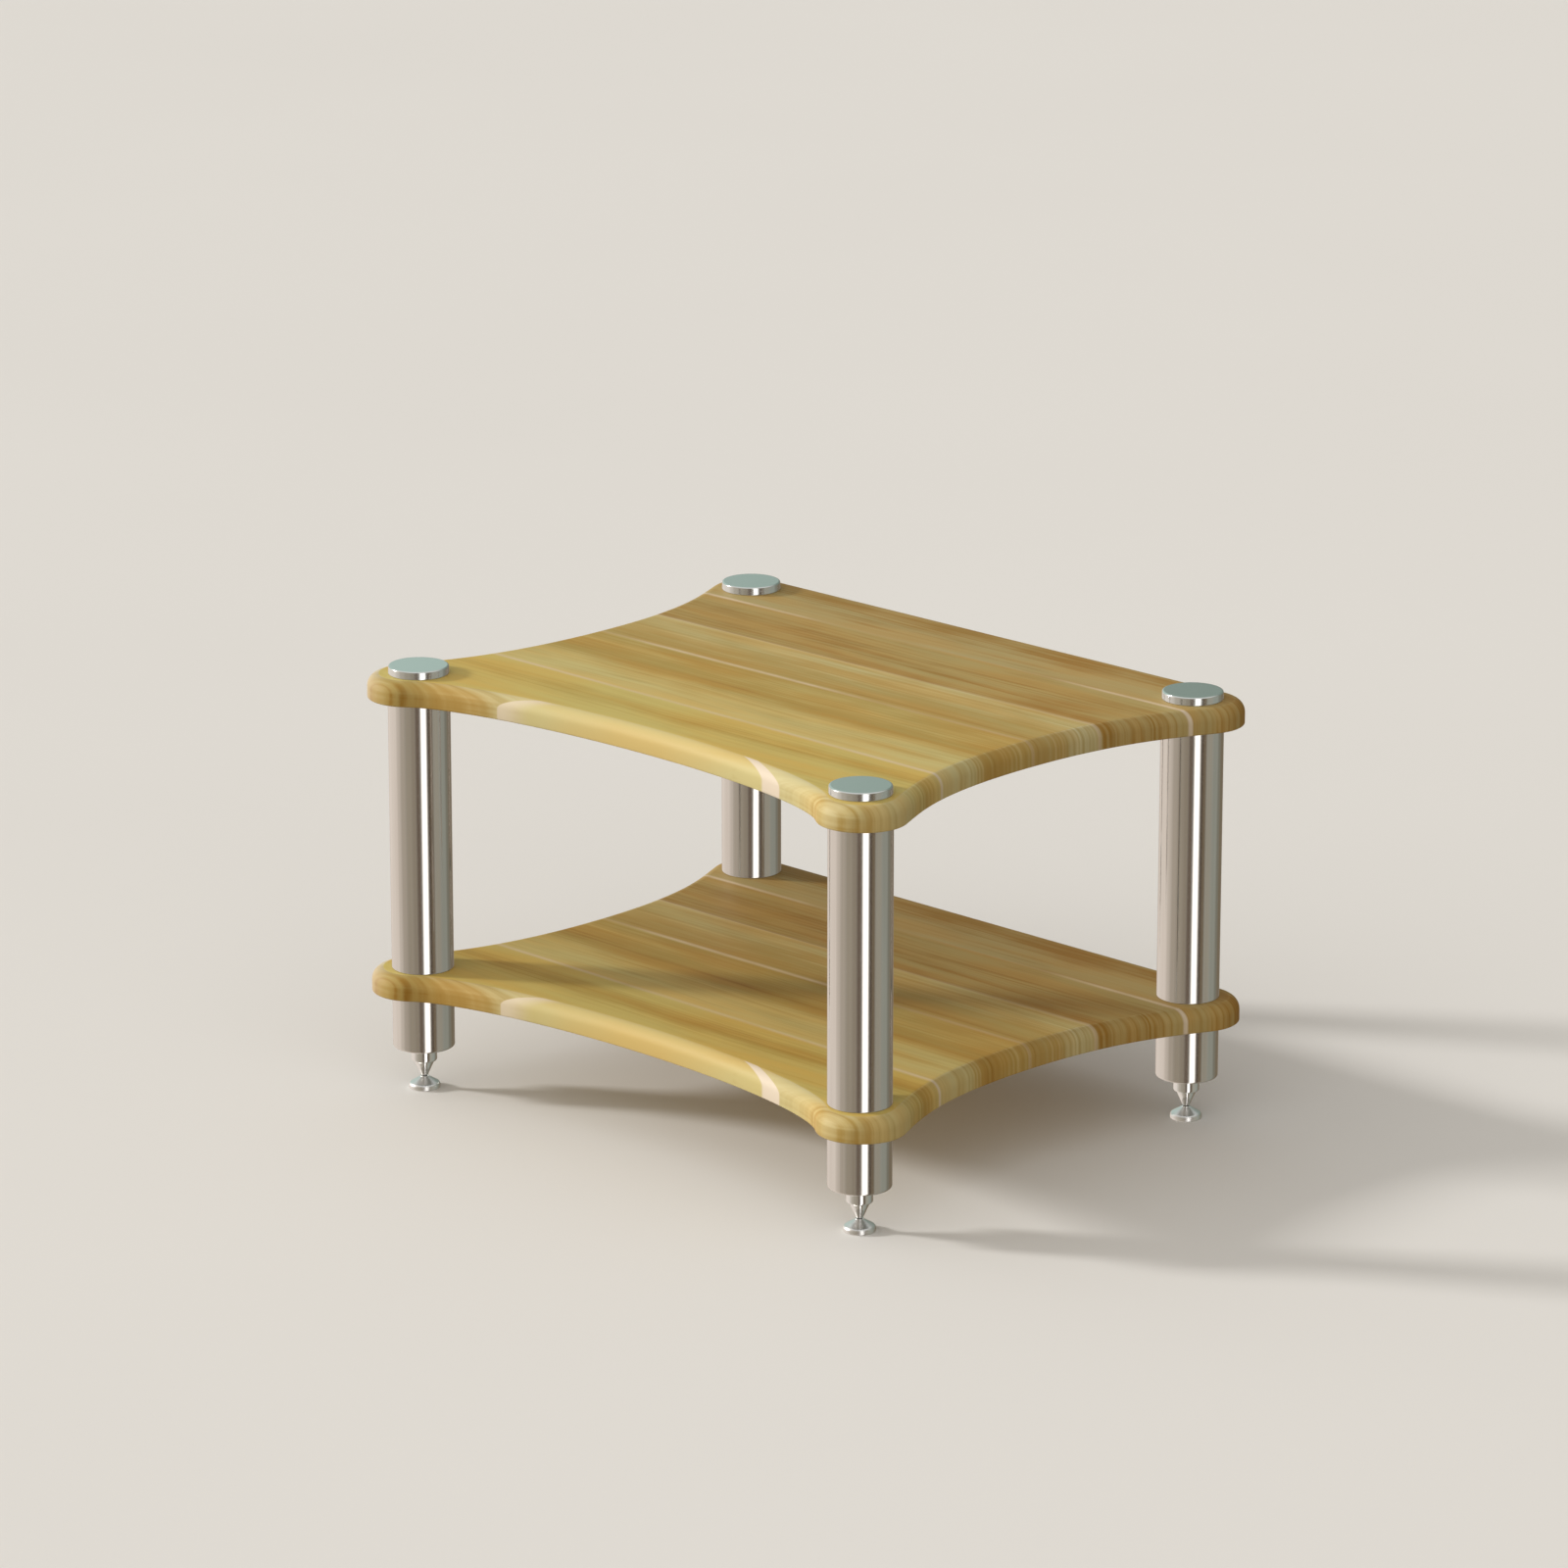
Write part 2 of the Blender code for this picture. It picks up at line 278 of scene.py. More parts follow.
def woodMaterial(name, middle, streakDepthWithShade, paintedBounce):
    material, wire, shader, x, y, z = startMaterial(name)
    z = z - middle * millimetres

    def noise(kind, across=y, log=None):
        length, width, height, detail, roughness = wood["noise"][kind]
        along = x / length if log is None else x / length + log
        return grain(wire, along, across / width, z / height, detail, roughness)

    # how much a face looks along, across and up, and how much of the rim it is
    facing = [abs(axis) for axis in wire.put("ShaderNodeTexCoord", out="Normal").split()]
    rim = 1 - facing[2].step(*wood["rimLean"])
    # the fibres wander a little along the board
    fibre = y + (noise("bend") * wood["bend"] + noise("waver") * wood["waver"])

    columns = zip(*wood["staves"])
    rears, rearTones, frontTones, streaks, widths, depths, greys, slants, logs = columns
    edges = [y - x * slant - rear for rear, slant in zip(rears[1:-1], slants[1:-1])]
    inFront = [1 - edge.step(*wood["staveBlend"]) for edge in edges]
    # the last stave shows only on the rim, where it meets the hollow front at a slant
    shape = wood["slant"]
    slant = abs(x - shape["centre"]) - shape["reach"] + (y - rears[-1]) * shape["slope"]
    onLast = slant.step(*wood["slantBlend"])
    frontRim = rim * (1 - y.step(*wood["rearOfFrontRim"]))
    inFront.append(frontRim * onLast)
    # painted reflection: the left front corner is painted pale and grey where it catches the
    # wall's light
    cornerPaintedReflection = frontRim * (1 - x.step(*wood["leftCorner"]))

    def byStave(values):
        total = values[0]
        for inside, before, after in zip(inFront, values, values[1:]):
            total = inside * (after - before) + total
        return total

    fronts = rears[1:] + (wood["frontEdge"],)
    slopes = [
        (frontTone - rearTone) / (front - rear)
        for rearTone, frontTone, rear, front in zip(rearTones, frontTones, rears, fronts)
    ]
    starts = [tone - slope * rear for tone, slope, rear in zip(rearTones, slopes, rears)]
    tone = fibre * byStave(slopes) + byStave(starts)
    streak = (fibre - byStave(streaks)) / byStave(widths)
    streak = wire.maths("EXPONENT", streak * streak * -1)
    # the streaks' depth: the wood's own on the top board, and deeper on the lower board as
    # painted shade
    tone = tone - streak * byStave([depth * streakDepthWithShade for depth in depths])

    # each stave has its own piece of the log
    log = byStave(logs)
    broad = noise("broad", fibre, log)
    lines = noise("lines", fibre, log)
    fine = noise("fine", fibre, log)
    cloud = noise("cloud")
    tone = tone + broad * wood["broad"] + lines * wood["lines"]
    tone = tone + fine * wood["fine"] + cloud * wood["cloud"]

    # growth rings show as crisper stripes round the rim, where the fibres are cut across
    across = facing[0].step(*wood["endLean"])
    ring = wood["rings"]
    rings = wire.maths("SINE", (fibre + noise("swirl") * ring["swirl"]) * ring["density"] + log)
    rings = rings * (cloud + 0.5)
    # along the front and the rear the cut runs with the fibres, so their layers lie level
    layers = noise("layers") * facing[1].step(*wood["frontLean"])
    tone = tone + rings * (rim * ring["rim"] + ring["top"]) + layers * wood["layers"]
    # painted light: the rim is painted lighter where it rounds over
    # painted shade: the ends, where the fibres are cut across, are painted darker
    tone = tone + rim * wood["rimPaintedLight"] - across * wood["endPaintedShade"]
    # the hollow front cuts the last stave in two: brown on the left, pale on the right
    brown = inFront[-1] * (1 - x.step(*wood["brownUntil"])) * x.step(*wood["brownFrom"])
    tone = tone - brown * wood["brownEnd"]

    stops = ((0.0, wood["dark"]), (wood["middlePlace"], wood["middle"]), (1.0, wood["pale"]))
    ramp = wire.put(
        "ShaderNodeValToRGB", {"stops": stops, "blending": "EASE"}, {"Fac": tone.clamp()}
    )
    # the hue drifts between golden and olive along the fibres
    drift = (noise("drift", fibre, log) * wood["drift"] + 0.5).clamp()
    tint = mixColour(drift, wood["golden"], wood["olive"])
    colour = mixColour(1.0, ramp, tint, "MULTIPLY")
    # the staves behind are greyer, those in front a warmer yellow
    greyness = byStave(greys) + (rim - across * wood["endLessGrey"]) * wood["rimGrey"]
    # the painted wall reflection also greys the left front corner
    greyness = (greyness + cornerPaintedReflection * wood["cornerReflectionGrey"]).clamp()
    tint = mixColour(greyness, wood["yellow"], wood["grey"])
    # then painted bounce light: a warm, darker tint, none on the top board
    colour = mixColour(1.0, mixColour(1.0, colour, tint, "MULTIPLY"), paintedBounce, "MULTIPLY")

    # pale glue lines between the staves, stronger here and fainter there
    joints = None
    blur = wood["jointBlur"]
    length, reach = wood["jointWander"]
    for edge, rear, strength in zip(edges, rears[1:-1], wood["joints"]):
        inside, outside, centre, near, far = strength
        line = abs(edge - grain(wire, x / length, rear, 0, 1.0) * reach)
        line = 1 - line.step(rim * blur["core"], blur["top"] - rim * (blur["top"] - blur["rim"]))
        line = line * (abs(x - centre).step(near, far) * (outside - inside) + inside)
        joints = line if joints is None else joints + line
    length, width, layer, detail = wood["patches"]
    patchy = grain(wire, x / length, y / width, layer, detail)
    patchy = (patchy * wood["patchScale"] + wood["patchLevel"]).clamp()
    joints = (joints * patchy).clamp() * wood["jointStrength"]
    # beside the slanting joints the wood is pale: crisp on the right, fading on the left
    onRight = x.step(*wood["rightHalf"])
    patch = slant.step(*wood["fadingPatch"]) * (1 - onRight) * wood["fadingStrength"]
    patch = slant.step(*wood["crispPatch"]) * onRight + patch
    joints = joints + patch * (1 - onLast) * frontRim + cornerPaintedReflection * wood["cornerReflectionPale"]
    pale = mixColour(rim, wood["jointTop"], wood["jointRim"])
    plug(mixColour(joints.clamp(), colour, pale), shader, "Base Color")

    # long open pores
    pores = noise("pores", y, log).step(*wood["poreEdge"])
    roughness = wood["roughness"] + fine * wood["fineRoughness"]
    plug(roughness + pores * wood["poreRoughness"], shader, "Roughness")
    relief = wood["relief"]
    height = lines * relief["lines"] + fine * relief["fine"] - pores * relief["pores"]
    addBump(shader, height, wood["bumpStrength"], wood["bumpDepth"])
    shader.inputs["Specular IOR Level"].default_value = wood["specular"]
    return material


# steel and chrome

tubeSteel = {
    "pale": srgb(212, 208, 203),
    "dim": srgb(196, 190, 184),
    "roughness": 0.125,
    "drawnLines": 1.6,      # to a millimetre round the tube
    "drawnLength": 220,
    "drawnShade": 0.6,
    "drawnRoughness": 0.03,
    "bandWidth": 9,
    "bandLength": 160,
    "bandShade": 0.8,
    "smudge": (22, 22, 30),
    "smudgeEdge": (0.05, 0.32),
    "smudgeRoughness": 0.03,
    "bumpStrength": 0.02,
    "bumpDepth": 0.0001,
}

turnedMetal = {
    "cap": srgb(216, 217, 214),
    "chrome": srgb(222, 221, 219),
    "darker": 0.88,
    "capRoughness": 0.16,
    "spikeRoughness": 0.12,
    "shoeRoughness": 0.32,
    "capLine": 0.45,        # width of the lathe's circles (mm)
    "spikeLine": 0.4,
    "shoeLine": 0.5,
    "circleRoughness": 0.05,
    "markSize": 9,
    "markEdge": (0.02, 0.3),
    "markRoughness": 0.04,
    "bumpStrength": 0.02,
    "bumpDepth": 0.0001,
}

platedMetal = {
    "zinc": srgb(176, 178, 180),
    "dull": srgb(150, 150, 146),
    "roughness": 0.42,
    "spangle": 900.0,       # crystals to a metre
    "spangleShade": 0.5,
    "shadeLevel": 0.2,
    "cloudSize": 3,
    "cloudRoughness": 0.2,
    "bumpStrength": 0.08,
    "bumpDepth": 0.0002,
}


def onAxis(x, y):
    # the four columns share one pattern, each centred on its own axis
    across = abs(x) - columnPlace["x"] * millimetres
    return across, abs(y) - columnPlace["y"] * millimetres


def tubeMaterial():
    material, wire, shader, x, y, z = startMaterial("polished_tube_steel")
    across, along = onAxis(x, y)
    lines, width = tubeSteel["drawnLines"], tubeSteel["bandWidth"]
    drawn = grain(wire, across * lines, along * lines, z / tubeSteel["drawnLength"], 3.0)
    band = grain(wire, across / width, along / width, z / tubeSteel["bandLength"], 1.0)
    smudgeX, smudgeY, smudgeZ = tubeSteel["smudge"]
    smudge = grain(wire, x / smudgeX, y / smudgeY, z / smudgeZ, 3.0)
    smudge = smudge.step(*tubeSteel["smudgeEdge"])
    share = (drawn * tubeSteel["drawnShade"] + band * tubeSteel["bandShade"] + 0.5).clamp()
    plug(mixColour(share, tubeSteel["pale"], tubeSteel["dim"]), shader, "Base Color")
    roughness = tubeSteel["roughness"] + drawn * tubeSteel["drawnRoughness"]
    plug(roughness + smudge * tubeSteel["smudgeRoughness"], shader, "Roughness")
    addBump(shader, drawn, tubeSteel["bumpStrength"], tubeSteel["bumpDepth"])
    shader.inputs["Metallic"].default_value = 1.0
    return material


def turnedMaterial(name, colour, roughness, line):
    # faces turned on a lathe: faint circles round the axis, with a few marks from handling
    material, wire, shader, x, y, z = startMaterial(name)
    across, along = onAxis(x, y)
    radius = (across * across + along * along) ** 0.5
    circles = grain(wire, radius / line, z / line, 7.0, 2.0)
    size = turnedMetal["markSize"]
    marks = grain(wire, x / size, y / size, z / size, 3.0).step(*turnedMetal["markEdge"])
    darker = tuple(value * turnedMetal["darker"] for value in colour[:3]) + (1,)
    plug(mixColour((circles + 0.5).clamp(), colour, darker), shader, "Base Color")
    roughness = roughness + circles * turnedMetal["circleRoughness"]
    plug(roughness + marks * turnedMetal["markRoughness"], shader, "Roughness")
    addBump(shader, circles, turnedMetal["bumpStrength"], turnedMetal["bumpDepth"])
    shader.inputs["Metallic"].default_value = 1.0
    return material


def platedMaterial():
    # plated inserts and studs, most of which only a loosened foot would show
    material, wire, shader, x, y, z = startMaterial("plated_insert_metal")
    place = wire.put("ShaderNodeTexCoord", out="Object")
    sockets = {"Vector": place, "Scale": platedMetal["spangle"]}
    spangle = wire.put("ShaderNodeTexVoronoi", {"feature": "F1"}, sockets)
    size = platedMetal["cloudSize"]
    cloud = grain(wire, x / size, y / size, z / size, 3.0)
    share = (spangle * platedMetal["spangleShade"] + cloud + platedMetal["shadeLevel"]).clamp()
    plug(mixColour(share, platedMetal["zinc"], platedMetal["dull"]), shader, "Base Color")
    plug(platedMetal["roughness"] + cloud * platedMetal["cloudRoughness"], shader, "Roughness")
    addBump(shader, cloud, platedMetal["bumpStrength"], platedMetal["bumpDepth"])
    shader.inputs["Metallic"].default_value = 1.0
    return material


def finishPiece(shape, name, material, body, node):
    # turns the shape into a piece that replaces its node and rides on its body
    bmesh.ops.remove_doubles(shape, verts=shape.verts, dist=weldDistance)
    bmesh.ops.recalc_face_normals(shape, faces=shape.faces)
    openEdges = sum(not edge.is_manifold for edge in shape.edges)
    mesh = bpy.data.meshes.new(name)
    shape.to_mesh(mesh)
    shape.free()
    mesh.materials.append(material)
    mesh.shade_smooth()
    mesh.set_sharp_from_angle(angle=smoothAngle)
    piece = bpy.data.objects.new(name, mesh)
    bpy.context.scene.collection.objects.link(piece)
    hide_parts(node)
    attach(piece, body)
    if openEdges:
        print("open edges on", name, openEdges)
    return piece


def atHeight(vert, height):
    return abs(vert.co.z - height) < weldDistance


def roundEdges(shape, edges, amount, segments):
    bmesh.ops.bevel(
        shape,
        geom=edges,
        offset=amount,
        offset_type="OFFSET",
        segments=segments,
        profile=0.5,
        affect="EDGES",
        material=-1,
    )


# boards

board = {
    "cornerRadius": 0.036,
    "frontWaist": 0.0475,
    "endWaist": 0.043,
    "frontTurn": math.radians(40),
    "endTurn": math.radians(24),
    # handles of the outline's curves, as reaches, and as shares of the corner's radius
    # and of the columns' place
    "frontReach": 0.125,
    "endReachShare": 0.56,
    "frontLeadShare": 0.80,
    "endLeadShare": 0.97,
    "outlineSteps": 22,
    "roundOver": 0.0105,
    "roundOverSteps": 10,
    "underRound": 0.0012,
    "underSteps": 4,
    "rimInset": 0.0006,
    "rimAngle": math.radians(60),
    "boreRadius": 0.0045,
    "boreSteps": 32,
    # a streak depth above 1 adds painted shade to the wood's own streaks
    # a tint below white is painted bounce light between the boards, and only the lower board has
    # it
    "top": {"wood": "stave_wood_top", "streakDepthWithShade": 1.0, "paintedBounce": (1, 1, 1, 1)},
    "lower": {"wood": "stave_wood_lower", "streakDepthWithShade": 1.45, "paintedBounce": (0.98, 0.95, 0.89, 1)},
}


def roundCorner(centre, start, end, leadIn, leadOut):
    # a corner's arc as three curve points, with longer or shorter handles at its ends
    radius = board["cornerRadius"]
    reach = 4 / 3 * math.tan((end - start) / 8) * radius
    points = []
    for part in range(3):
        angle = start + (end - start) * part / 2
        outward = Vector((math.cos(angle), math.sin(angle), 0))
        along = Vector((-math.sin(angle), math.cos(angle), 0))
        spot = centre + radius * outward
        before = leadIn if part == 0 else reach
        after = leadOut if part == 2 else reach
        points.append((spot - before * along, spot, spot + after * along))
    return points


def boardOutline(halfLength, halfDepth):
    # hollow front, hollow ends and a straight rear, anticlockwise from the front's middle
    radius = board["cornerRadius"]
    front = Vector((0, board["frontWaist"] - halfDepth, 0))
    end = Vector((halfLength - board["endWaist"], 0, 0))
    frontReach = Vector((board["frontReach"], 0, 0))
    endReach = Vector((0, board["endReachShare"] * columnPlace["y"], 0))
    frontLead = board["frontLeadShare"] * radius
    endLead = board["endLeadShare"] * radius
    rearLead = (halfLength - radius) * 2 / 3
    frontCentre = Vector((halfLength - radius, radius - halfDepth, 0))
    rearCentre = Vector((halfLength - radius, halfDepth - radius, 0))
    frontStart = -math.pi / 2 - board["frontTurn"]
    right = roundCorner(frontCentre, frontStart, board["endTurn"], frontLead, endLead)
    right.append((end - endReach, end, end + endReach))
    right += roundCorner(rearCentre, -board["endTurn"], math.pi / 2, endLead, rearLead)
    mirror = Matrix.Scale(-1, 4, (1, 0, 0))
    left = [tuple(mirror @ point for point in reversed(points)) for points in reversed(right)]
    return [(front - frontReach, front, front + frontReach)] + right + left


def outlineMesh(points):
    curve = bpy.data.curves.new("board_outline", "CURVE")
    curve.dimensions = "2D"
    curve.fill_mode = "NONE"
    spline = curve.splines.new("BEZIER")
    spline.bezier_points.add(len(points) - 1)
    for point, (before, spot, after) in zip(spline.bezier_points, points):
        point.handle_left_type = "FREE"
        point.handle_right_type = "FREE"
        point.co = spot
        point.handle_left = before
        point.handle_right = after
    spline.use_cyclic_u = True
    spline.resolution_u = board["outlineSteps"]
    blank = bpy.data.objects.new("board_outline", curve)
    bpy.context.scene.collection.objects.link(blank)
    depsgraph = bpy.context.evaluated_depsgraph_get()
    mesh = bpy.data.meshes.new_from_object(blank.evaluated_get(depsgraph))
    bpy.data.objects.remove(blank)
    bpy.data.curves.remove(curve)
    return mesh


def rimEdges(shape, height):
    edges = []
    for edge in shape.edges:
        level = all(atHeight(vert, height) for vert in edge.verts)
        if level and edge.calc_face_angle(0) > board["rimAngle"]:
            edges.append(edge)
    return edges


def flatFaces(shape, height):
    return [
        face for face in shape.faces if abs(face.calc_center_median().z - height) < weldDistance
    ]


def openBores(shape, low, high):
    # clears each flat face to its rim and fills it again around the four stud holes
    circles = {}
    for height in (low, high):
        flat = max(flatFaces(shape, height), key=lambda face: len(face.verts))
        rim = list(flat.edges)
        bmesh.ops.delete(shape, geom=[flat], context="FACES_ONLY")
        circles[height] = []
        for side in (-1, 1):
            for row in (-1, 1):
                axis = (side * columnPlace["x"], row * columnPlace["y"], height)
                ring = bmesh.ops.create_circle(
                    shape,
                    radius=board["boreRadius"],
                    segments=board["boreSteps"],
                    matrix=Matrix.Translation(axis),
                )
                edges = list({edge for vert in ring["verts"] for edge in vert.link_edges})
                circles[height].append(edges)
                rim += edges
        bmesh.ops.triangle_fill(shape, use_beauty=True, use_dissolve=False, edges=rim)
    for under, over in zip(circles[low], circles[high]):
        bmesh.ops.bridge_loops(shape, edges=under + over)


def makeBoard(name, node, look):
    low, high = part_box(node)
    material = woodMaterial(look["wood"], (low.z + high.z) / 2, look["streakDepthWithShade"], look["paintedBounce"])
    shape = bmesh.new()
    shape.from_mesh(outlineMesh(boardOutline(high.x, high.y)))
    bmesh.ops.remove_doubles(shape, verts=shape.verts, dist=weldDistance)
    bmesh.ops.translate(shape, verts=shape.verts, vec=(0, 0, low.z))
    bmesh.ops.contextual_create(shape, geom=shape.edges[:])
    raised = bmesh.ops.extrude_face_region(shape, geom=shape.faces[:])
    lifted = [item for item in raised["geom"] if isinstance(item, bmesh.types.BMVert)]
    bmesh.ops.translate(shape, verts=lifted, vec=(0, 0, high.z - low.z))
    bmesh.ops.recalc_face_normals(shape, faces=shape.faces)
    rims = (
        (high.z, board["roundOver"], board["roundOverSteps"]),
        (low.z, board["underRound"], board["underSteps"]),
    )
    for height, amount, segments in rims:
        roundEdges(shape, rimEdges(shape, height), amount, segments)
        # a narrow band keeps the flat face's shading flat up to the rounding
        bmesh.ops.inset_region(
            shape,
            faces=flatFaces(shape, height),
            thickness=board["rimInset"],
            use_even_offset=True,
        )
    openBores(shape, low.z, high.z)
    piece = finishPiece(shape, name, material, "frame", node)
    # as in the photograph, the polished columns and caps mirror the room and not the boards
    piece.visible_glossy = False


makeBoard("board_top", "shelf_top", board["top"])
makeBoard("board_lower", "shelf_lower", board["lower"])
print("boards done")


# turned pieces; the hold of each is a narrow strip that keeps its roundings apart

def turn(profile, closed, steps):
    # a profile of (radius, height) spun once around the upright axis
    shape = bmesh.new()
    verts = [shape.verts.new((radius, 0, height)) for radius, height in profile]
    pairs = list(zip(verts, verts[1:]))
    if closed:
        pairs.append((verts[-1], verts[0]))
    edges = [shape.edges.new(pair) for pair in pairs]
    bmesh.ops.spin(
        shape,
        geom=verts + edges,
        cent=(0, 0, 0),
        axis=(0, 0, 1),
        angle=2 * math.pi,
        steps=steps,
        use_merge=True,
    )
    bmesh.ops.remove_doubles(shape, verts=shape.verts, dist=weldDistance)
    bmesh.ops.recalc_face_normals(shape, faces=shape.faces)
    return shape


def roundRing(shape, radius, height, amount, segments):
    # rounds the circle of edges at that radius and height
    def onRing(vert):
        return atHeight(vert, height) and abs(vert.co.xy.length - radius) < weldDistance

    ring = [edge for edge in shape.edges if all(onRing(vert) for vert in edge.verts)]
    roundEdges(shape, ring, amount, segments)


def carry(shape, node):
    # moves a turned shape from the origin to its node's axis
    low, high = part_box(node)
    middle = (low + high) / 2
    bmesh.ops.translate(shape, verts=shape.verts, vec=(middle.x, middle.y, 0))


column = {
    "wall": 0.0020,
    "rimRound": 0.0005,
    "rimSteps": 4,
    "footRound": 0.0016,
    "footSteps": 6,
    "hold": 0.0003,
    "steps": 112,
}


def makeTube(name, node, footRound, material):
    low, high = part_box(node)
    outer = (high.x - low.x) / 2
    inner = outer - column["wall"]
    profile = [
        (inner, low.z),
        (outer, low.z),
        (outer, low.z + footRound + column["hold"]),
        (outer, high.z - column["rimRound"] - column["hold"]),
        (outer, high.z),
        (inner, high.z),
    ]
    shape = turn(profile, True, column["steps"])
    roundRing(shape, outer, low.z, footRound, column["footSteps"])
    roundRing(shape, outer, high.z, column["rimRound"], column["rimSteps"])
    carry(shape, node)
    finishPiece(shape, name, material, "frame", node)


thread = {
    "pitch": 0.00125,
    "depth": 0.00072,
    "flat": 0.00016,
    "steps": 24,
}


def addThread(shape, radius, bottom, top):
    # right-hand thread: one turn of the profile climbs by the pitch as it is swept round
    pitch = thread["pitch"]
    root = radius - thread["depth"]
    crest = pitch / 2
    # a turn to spare at either end is cut off level
    turns = math.ceil((top - bottom) / pitch) + 2
    start = bottom - pitch
    part = bmesh.new()
    heights = (0, thread["flat"], crest - thread["flat"] / 2, crest + thread["flat"] / 2, pitch)
    radii = (root, root, radius, radius, root)
    verts = [part.verts.new((size, 0, start + height)) for size, height in zip(radii, heights)]
    edges = [part.edges.new(pair) for pair in zip(verts, verts[1:])]
    bmesh.ops.spin(
        part,
        geom=verts + edges,
        cent=(0, 0, 0),
        axis=(0, 0, 1),
        dvec=(0, 0, pitch / thread["steps"]),
        angle=2 * math.pi * turns,
        steps=turns * thread["steps"],
        use_merge=False,
    )
    bmesh.ops.remove_doubles(part, verts=part.verts, dist=weldDistance)
    for height, side in ((bottom, -1), (top, 1)):
        bmesh.ops.bisect_plane(
            part,
            geom=part.verts[:] + part.edges[:] + part.faces[:],
            dist=weldDistance / 10,
            plane_co=(0, 0, height),
            plane_no=(0, 0, side),
            clear_outer=True,
        )
        cut = [
            edge
            for edge in part.edges
            if edge.is_boundary and all(atHeight(vert, height) for vert in edge.verts)
        ]
        bmesh.ops.contextual_create(part, geom=cut)
    mesh = bpy.data.meshes.new("thread")
    part.to_mesh(mesh)
    part.free()
    shape.from_mesh(mesh)
    bpy.data.meshes.remove(mesh)


cap = {
    "thickness": 0.0065,
    "rimRound": 0.0014,
    "rimSteps": 6,
    "studRadius": 0.0040,
    "hold": 0.0003,
    "baseSteps": 2,
    "steps": 96,
}


def makeCap(name, node, material):
    low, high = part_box(node)
    radius = (high.x - low.x) / 2
    base = high.z - cap["thickness"]
    hold = cap["hold"]
    profile = [
        (0, high.z),
        (radius - cap["rimRound"] - hold, high.z),
        (radius, high.z),
        (radius, high.z - cap["rimRound"] - hold),
        (radius, base + 2 * hold),
        (radius, base),
        (0, base),
    ]
    shape = turn(profile, False, cap["steps"])
    roundRing(shape, radius, high.z, cap["rimRound"], cap["rimSteps"])
    roundRing(shape, radius, base, hold, cap["baseSteps"])
    addThread(shape, cap["studRadius"], low.z, base + hold)
    carry(shape, node)
    finishPiece(shape, name, material, "frame", node)


spike = {
    "headRadius": 0.0106,
    "headHeight": 0.0132,
    "headRound": 0.0010,
    "headSteps": 5,
    "headFoot": 0.0022,
    "footSteps": 8,
    "coneLength": 0.0173,
    "tipRadius": 0.0006,
    "tipRound": 0.00025,
    "tipSteps": 3,
    "studRadius": 0.0040,
    "hold": 0.0002,
    "steps": 80,
}


def makeSpike(name, node, body, material):
    # stud, round head and cone in one piece
    low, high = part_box(node)
    head = low.z + spike["coneLength"]
    top = head + spike["headHeight"]
    hold = spike["hold"]
    neck = spike["headRadius"] - spike["headFoot"]
    profile = [
        (0, low.z),
        (spike["tipRadius"], low.z),
        (neck, head),
        (spike["headRadius"], head),
        (spike["headRadius"], head + spike["headFoot"] + hold),
        (spike["headRadius"], top - spike["headRound"] - hold),
        (spike["headRadius"], top),
        (spike["studRadius"], top),
        (0, top),
    ]
    shape = turn(profile, False, spike["steps"])
    roundRing(shape, spike["tipRadius"], low.z, spike["tipRound"], spike["tipSteps"])
    roundRing(shape, spike["headRadius"], head, spike["headFoot"] - hold, spike["footSteps"])
    roundRing(shape, spike["headRadius"], top, spike["headRound"], spike["headSteps"])
    addThread(shape, spike["studRadius"], top - hold, high.z)
    carry(shape, node)
    finishPiece(shape, name, material, body, node)


shoe = {
    "floor": 0.0057,
    "rimHeight": 0.0024,
    "rimRound": 0.0032,
    "rimSteps": 10,
    "footRound": 0.0010,
    "footSteps": 6,
    "neckRadius": 0.0036,
    "neckRound": 0.0004,
    "neckSteps": 4,
    "gap": 0.0003,
    "hold": 0.0001,
    "steps": 96,
}


def makeShoe(name, node, body, material):
    # low cone that falls into its round rim, with a socket for the spike
    low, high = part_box(node)
    radius = (high.x - low.x) / 2
    slope = (spike["headRadius"] - spike["headFoot"] - spike["tipRadius"]) / spike["coneLength"]
    socket = spike["tipRadius"] + shoe["gap"] * math.hypot(1, slope)
    mouth = socket + slope * (high.z - shoe["floor"] - shoe["gap"])
    neckFoot = high.z - shoe["neckRound"]
    # where the cone's line meets the upright of the rim
    rise = neckFoot - shoe["rimHeight"]
    run = radius - shoe["rimRound"] - shoe["neckRadius"]
    fall = math.atan2(rise, -run) - math.acos(shoe["rimRound"] / math.hypot(rise, run))
    corner = neckFoot - (radius - shoe["neckRadius"]) / math.tan(fall)
    profile = [
        (0, shoe["floor"]),
        (socket, shoe["floor"]),
        (mouth, high.z),
        (shoe["neckRadius"], high.z),
        (shoe["neckRadius"], neckFoot - shoe["hold"]),
        (radius, corner),
        (radius, low.z),
        (0, low.z),
    ]
    shape = turn(profile, False, shoe["steps"])
    roundRing(shape, shoe["neckRadius"], high.z, shoe["neckRound"], shoe["neckSteps"])
    roundRing(shape, radius, corner, shoe["rimRound"] * math.tan(fall / 2), shoe["rimSteps"])
    roundRing(shape, radius, low.z, shoe["footRound"], shoe["footSteps"])
    carry(shape, node)
    finishPiece(shape, name, material, body, node)


